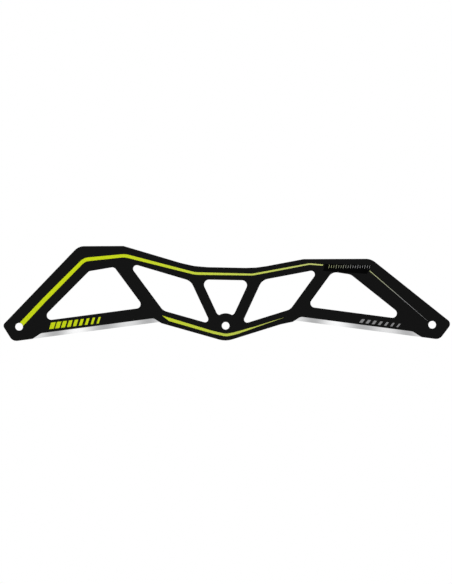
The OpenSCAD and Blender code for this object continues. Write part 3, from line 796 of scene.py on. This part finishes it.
class Finish(Nodes):
    """A material with its Principled shader."""

    def __init__(self, name, **constants):
        self.material = bpy.data.materials.new(name)
        self.material.use_nodes = True
        super().__init__(self.material.node_tree)
        self.shader = self.tree.nodes["Principled BSDF"]
        self.set(**constants)

    def set(self, **sockets):
        """Feeds sockets of the shader, named with underscores for spaces."""
        for key, value in sockets.items():
            self.feed(self.shader.inputs[key.replace("_", " ")], value)

    def bump(self, height, distance, strength):
        """Relief of the given depth in metres."""
        sockets = {"Height": height, "Distance": distance, "Strength": strength}
        self.feed(self.shader.inputs["Normal"], self.node("ShaderNodeBump", {}, sockets))


def even(per_metre):
    """The same scale along X, Y and Z."""
    return (per_metre,) * 3


def toned(part, colour):
    """A colour with each channel times a part."""
    return tuple(part * c for c in colour)


def black_anodised(colours):
    """Matte black anodising: fine blasted pits, a faint cloud of tone and rubbed edges."""
    f = Finish("black_anodised", Specular_IOR_Level=0.07)
    pits = f.grain(even(3200), detail=2.0)
    cloud = f.grain(even(38), detail=4.0)
    rubbed = (f.attribute("rim") * (cloud * 2.4 - 0.7)).limited()
    deep = toned(0.75, colours.black)
    f.set(Base_Color=f.mix(rubbed, f.mix(cloud, deep, colours.black), colours.black_worn))
    f.set(Roughness=0.5 + 0.14 * pits - 0.12 * rubbed)
    f.bump(pits, 0.02 * MM, 0.35)
    return f.material


def milled_bevel(colours):
    """Bare aluminium cut along the rail: soft waves of painted reflection, lighter and darker, alike on each
    bevel, and long fine streaks.
    """
    f = Finish("milled_bevel", Metallic=1.0)
    x, fall = f.along("X"), f.attribute("run")
    streak = f.noise(f.joined(x * 55, fall * 5.5), detail=4.0, roughness=0.6)
    # Painted reflection: waves of light and shade along the bevel, laid into the base colour
    place = x % REFLECTION_REPEAT
    short = f.wave(place - REFLECTION_DRIFT * f.wave(place, *REFLECTION_DRIFT_WAVE), *SHORT_REFLECTION)
    long = f.wave(place, *LONG_REFLECTION)
    reflection_shade = 1.0 - (1.0 - short) * (1.0 - 0.43 * long)
    f.set(Base_Color=f.mix((reflection_shade + 0.3 * streak - 0.15).limited(), colours.bare, colours.bare_streak_and_shade))
    f.set(Roughness=0.26 + 0.12 * streak)
    f.bump(streak, 0.01 * MM, 0.25)
    return f.material


def turned_aluminium(colours):
    """Bare aluminium turned on a lathe: fine rings that follow the radius."""
    f = Finish("turned_aluminium", Metallic=1.0)
    rings = f.noise(f.joined(f.attribute("run") * 9, 0.0), detail=3.0)
    smears = f.grain(even(300), detail=2.0)
    f.set(Base_Color=f.mix((rings * 1.6 - 0.4).limited(), colours.bare_streak_and_shade, colours.bare))
    f.set(Roughness=0.24 + 0.18 * rings + 0.1 * smears)
    f.bump(rings, 0.01 * MM, 0.3)
    return f.material


def dark_milled(colours):
    """Dark anodised blocks with the fine parallel lines of the cutter."""
    f = Finish("dark_milled", Specular_IOR_Level=0.35)
    lines = f.grain((60, 2600, 2600), detail=2.0)
    cloud = f.grain(even(70), detail=3.0)
    light = toned(1.7, colours.dark)
    f.set(Base_Color=f.mix(cloud * 0.6 + lines * 0.4, colours.dark, light))
    f.set(Roughness=0.34 + 0.2 * lines)
    f.bump(lines, 0.015 * MM, 0.3)
    return f.material


def ground_zinc(colours):
    """Zinc plated steel, ground across the frame, with a faint stain."""
    f = Finish("ground_zinc", Metallic=1.0)
    lines = f.grain((3200, 90, 3200), detail=2.0)
    stain = f.grain(even(160), detail=3.0)
    dark = toned(0.7, colours.zinc)
    f.set(Base_Color=f.mix(stain * 0.5 + lines * 0.4, dark, colours.zinc))
    f.set(Roughness=0.26 + 0.22 * lines)
    f.bump(lines, 0.01 * MM, 0.3)
    return f.material


def black_oxide(colours):
    """Blackened screw steel with bright rubs on its edges."""
    f = Finish("black_oxide", Metallic=0.85)
    spots = f.grain(even(900), detail=3.0)
    rubbed = (f.attribute("rim") * (spots * 2.0 - 0.6)).limited()
    pale = toned(4.0, colours.oxide)
    f.set(Base_Color=f.mix(rubbed, colours.oxide, pale))
    f.set(Roughness=0.3 + 0.2 * spots)
    f.bump(spots, 0.01 * MM, 0.2)
    return f.material


def lime_ink(colours):
    """Satin lime ink with a faint mottle, paler towards the toe."""
    f = Finish("lime_ink", Specular_IOR_Level=0.1)
    mottle = f.grain(even(700), detail=3.0)
    ahead = ((f.along("X") - PALING[0] * MM) * (1 / (PALING[1] - PALING[0]) / MM)).limited()
    f.set(Base_Color=f.mix((ahead * ahead + 0.1 * mottle - 0.05).limited(), colours.lime, colours.lime_pale))
    f.set(Roughness=0.42 + 0.18 * mottle)
    f.bump(mottle, 0.005 * MM, 0.2)
    return f.material


def fading_ink(colours):
    """Pale lime ink that fades to grey along its line."""
    f = Finish("fading_ink", Specular_IOR_Level=0.1)
    mottle = f.grain(even(700), detail=3.0)
    faded = 0.25 + 1.2 * f.attribute("run") + 0.1 * mottle
    f.set(Base_Color=f.mix(faded.limited(), colours.lime_pale, colours.grey))
    f.set(Roughness=0.42 + 0.18 * mottle)
    return f.material


def grey_ink(colours):
    """Silver-grey ink with fine flakes."""
    f = Finish("grey_ink", Specular_IOR_Level=0.3, Metallic=0.3)
    flakes = f.grain(even(5200), detail=2.0)
    dark, light = toned(0.4, colours.grey), toned(0.66, colours.grey)
    f.set(Base_Color=f.mix(flakes, dark, light))
    f.set(Roughness=0.35 + 0.2 * flakes)
    return f.material


def glossy_label(colours):
    """Smooth deep black label film."""
    f = Finish("glossy_label", Specular_IOR_Level=0.02)
    ripple = f.grain(even(120), detail=2.0)
    f.set(Base_Color=f.mix(ripple, colours.label, toned(1.4, colours.label)))
    f.set(Roughness=0.16 + 0.1 * ripple)
    return f.material


# Operators

class BuildStep:
    """What the operators share."""
    bl_options = {"REGISTER", "UNDO"}

    @staticmethod
    def settings():
        """The scene's skate frame settings."""
        return bpy.context.scene.skate_frame


class SKATE_OT_side_plates(BuildStep, bpy.types.Operator):
    """Build both side plates with broken edges, windows, bevels and holes"""
    bl_idname = "skate_frame.side_plates"
    bl_label = "Side plates"

    def execute(self, context):
        s = self.settings()
        materials = [black_anodised(s.colours), milled_bevel(s.colours)]
        for name, side in SIDES.items():
            side_plate(name, side, s.plate, materials)
        return {"FINISHED"}


class SKATE_OT_print(BuildStep, bpy.types.Operator):
    """Print the stripes and bars on both plates, and the label on the right one"""
    bl_idname = "skate_frame.print"
    bl_label = "Print"

    def execute(self, context):
        s = self.settings()
        ink = s.ink
        lime, fading, grey = lime_ink(s.colours), fading_ink(s.colours), grey_ink(s.colours)
        rim = s.piece.axle_bore / 2 + s.plate.hole_chamfer + ink.hole_gap
        axle = (np.array(UPPER_STRIPE[0][:2]) * MM, rim)
        upper, lower = eased_route(UPPER_STRIPE), eased_route(LOWER_STRIPE)
        rear, front = bars(ink.rear_marks, **REAR_BARS), bars(ink.front_marks, **FRONT_BARS)
        for name, side in SIDES.items():
            _, _, holes = sorted_outlines(f"{name}_side_plate", side * HALF_W)
            heads = [(m, r + ink.hole_gap) for m, r in holes if r > s.piece.axle_bore / 2 + WELD]
            stripes = broken_ribbon(upper, heads, start=axle, **UPPER_CUT) + [ribbon(lower, **LOWER_CUT)]
            printed("stripes", name, stripes, lime, "lime_print", ink)
            printed("front_line", name, [ribbon(np.array(FRONT_LINE) * MM)], fading, "lime_print", ink)
            printed("rear_bars", name, rear, lime, "lime_print", ink)
            printed("front_bars", name, front, grey, "grey_print", ink)
        label = ribbon(np.array(LABEL) * MM, **LABEL_CUTS)
        printed("label", "right", [label], glossy_label(s.colours), "black_anodised", ink)
        printed("label_ticks", "right", bars(ink.ticks, **LABEL_TICKS), fading, "lime_print", ink, layer=2)
        return {"FINISHED"}


class SKATE_OT_decks(BuildStep, bpy.types.Operator):
    """Break the edges of the heel and toe deck blocks"""
    bl_idname = "skate_frame.decks"
    bl_label = "Decks"

    def execute(self, context):
        s = self.settings()
        material = dark_milled(s.colours)
        edge = s.piece.block_edge
        for end in ("heel", "toe"):
            eased_copy(f"{end}_deck", f"{end}_platform", material, "frame", edge)
        return {"FINISHED"}


class SKATE_OT_slides(BuildStep, bpy.types.Operator):
    """Break the edges of the sliding plates that hold the boot bolts"""
    bl_idname = "skate_frame.slides"
    bl_label = "Slide plates"

    def execute(self, context):
        s = self.settings()
        material = ground_zinc(s.colours)
        edge = s.piece.slide_edge
        for end in ("heel", "toe"):
            slide = f"{end}_slide"
            eased_copy(slide, f"{end}_slide_plate", material, slide, edge)
        return {"FINISHED"}


class SKATE_OT_bushes(BuildStep, bpy.types.Operator):
    """Turn the six flanged axle bushes"""
    bl_idname = "skate_frame.bushes"
    bl_label = "Axle bushes"

    def execute(self, context):
        s = self.settings()
        material = turned_aluminium(s.colours)
        for axle in AXLES:
            for side_name, side in SIDES.items():
                node = f"{axle}_bush_{side_name}"
                low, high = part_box(node)
                middle = np.array([low.x + high.x, low.z + high.z]) / 2
                bush(f"{axle}_axle_bush_{side_name}", node, middle, side, s.piece, material)
        return {"FINISHED"}


class SKATE_OT_cross_pieces(BuildStep, bpy.types.Operator):
    """Build the two strut webs and the two rail spacers"""
    bl_idname = "skate_frame.cross_pieces"
    bl_label = "Webs and spacers"

    def execute(self, context):
        s = self.settings()
        material = dark_milled(s.colours)
        for end in ("rear", "front"):
            cross_piece(f"{end}_web", f"{end}_strut_web", s.piece, material)
            cross_piece(f"{end}_spacer", f"{end}_rail_spacer", s.piece, material)
        return {"FINISHED"}


class SKATE_OT_screws(BuildStep, bpy.types.Operator):
    """Build the countersunk screws that hold the pieces between the plates"""
    bl_idname = "skate_frame.screws"
    bl_label = "Screws"

    def execute(self, context):
        s = self.settings()
        material = black_oxide(s.colours)
        _, _, holes = sorted_outlines("right_side_plate", -HALF_GAP)
        for node in SCREW_NODES:
            low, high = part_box(node)
            skin = Skin()
            for middle, radius in holes:
                if low.x < middle[0] < high.x and low.z < middle[1] < high.z:
                    # The threaded hole is a little wider than its screw
                    diameter = round(2 * radius / MM, 1) * MM
                    screw(skin, middle, diameter, node, s.piece)
            skin.made(f"{node}_set", [material], "screw_steel", [node])
        return {"FINISHED"}


class SKATE_OT_stage(BuildStep, bpy.types.Operator):
    """Set up the floor, the light and the camera"""
    bl_idname = "skate_frame.stage"
    bl_label = "Stage"

    def execute(self, context):
        s = self.settings().stage
        self.floor(s)
        self.sky(s)
        self.lamp("key_light", s.key, KEY_PLACE)
        self.lamp("fill_light", s.fill, FILL_PLACE)
        self.camera(s)
        context.scene.view_settings.view_transform = "Standard"
        return {"FINISHED"}

    def floor(self, s):
        """Square floor that the frame stands on, as a flat grid. It looks white in reflections."""
        line = np.linspace(-0.5, 0.5, FLOOR_LINES) * s.floor_size
        x, y = np.meshgrid(line, line, indexing="ij")
        points = np.stack([x, y, np.full_like(x, cad_box[0].z)], axis=-1)
        cells = np.arange(x.size).reshape(x.shape)
        faces = np.stack([cells[:-1, :-1], cells[1:, :-1], cells[1:, 1:], cells[:-1, 1:]], axis=-1)
        mesh = bpy.data.meshes.new("floor")
        mesh.from_pydata(points.reshape(-1, 3), [], faces.reshape(-1, 4).tolist())
        f = Finish("pale_floor", Specular_IOR_Level=0.2)
        cloud = f.grain(even(3), detail=3.0)
        f.set(Base_Color=f.mix(cloud, toned(0.97, s.floor), s.floor), Roughness=0.7 + 0.1 * cloud)
        white = f.tree.nodes.new("ShaderNodeEmission").outputs[0]
        mirrored = f.node("ShaderNodeLightPath", out="Is Glossy Ray")
        shaders = {0: mirrored, 1: Value(f, f.shader.outputs[0]), 2: Value(f, white)}
        f.feed(f.tree.nodes["Material Output"].inputs[0], f.node("ShaderNodeMixShader", {}, shaders))
        mesh.materials.append(f.material)
        floor = placed("floor", mesh)

    def sky(self, s):
        """Even light from all round that looks white to the camera and in reflections. Below the horizon
        it has the lit floor's tone, for a low camera that looks in under the floor."""
        world = bpy.data.worlds.new("studio")
        world.use_nodes = True
        bpy.context.scene.world = world
        n = Nodes(world.node_tree)
        ray = n.tree.nodes.new("ShaderNodeLightPath")
        seen = [Value(n, ray.outputs[f"Is {kind} Ray"]) for kind in ("Camera", "Glossy", "Transmission")]
        white = (seen[0] + seen[1] + seen[2]).limited()
        back = n.tree.nodes["Background"]
        below = (n.along("Z", "Generated") * HORIZON).limited()
        n.feed(back.inputs["Color"], n.mix(below, (1.0, 1.0, 1.0), LIT_FLOOR))
        n.feed(back.inputs["Strength"], s.sky + (1 - s.sky) * white)

    def lamp(self, name, power, place):
        """Square soft light that faces the frame."""
        light = bpy.data.lights.new(name, "AREA")
        light.energy = power
        light.size = LAMP_SIDE
        lamp = placed(name, light)
        lamp.location = place
        aim = -lamp.location
        lamp.rotation_euler = aim.to_track_quat("-Z", "Y").to_euler()

    def camera(self, s):
        """Camera square to the right plate, with no perspective."""
        lens = bpy.data.cameras.new("camera")
        lens.type = "ORTHO"
        lens.ortho_scale = s.picture_height
        eye = placed("camera", lens)
        eye.location = (s.aim_x, -CAMERA_AWAY, s.aim_z)
        eye.rotation_euler = (math.pi / 2, s.roll, 0)
        bpy.context.scene.camera = eye


STEPS = (
    SKATE_OT_stage, SKATE_OT_side_plates, SKATE_OT_print, SKATE_OT_decks, SKATE_OT_slides,
    SKATE_OT_bushes, SKATE_OT_cross_pieces, SKATE_OT_screws,
)


class SKATE_PT_frame(bpy.types.Panel):
    """Skate frame steps and settings"""
    bl_idname = "SKATE_PT_frame"
    bl_label = "Skate frame"
    bl_space_type = "VIEW_3D"
    bl_region_type = "UI"
    bl_category = "Skate frame"

    def draw(self, context):
        for step in STEPS:
            self.layout.operator(step.bl_idname)
        settings = context.scene.skate_frame
        for group in (getattr(settings, name) for name in settings.__annotations__):
            box = self.layout.box()
            for name in group.__annotations__:
                box.prop(group, name)


CLASSES = (
    PlateSizes, PieceSizes, PrintSizes, FinishColours, StageSizes, SkateFrameSettings, *STEPS, SKATE_PT_frame,
)


def register():
    """Adds the classes and the scene's settings."""
    for entry in CLASSES:
        bpy.utils.register_class(entry)
    bpy.types.Scene.skate_frame = PointerProperty(type=SkateFrameSettings)


def unregister():
    """Takes the classes and the scene's settings away."""
    del bpy.types.Scene.skate_frame
    for entry in reversed(CLASSES):
        bpy.utils.unregister_class(entry)


def main():
    """Builds every piece in order."""
    register()
    for step in STEPS:
        group, name = step.bl_idname.split(".")
        getattr(getattr(bpy.ops, group), name)()


if __name__ == "__main__":
    main()
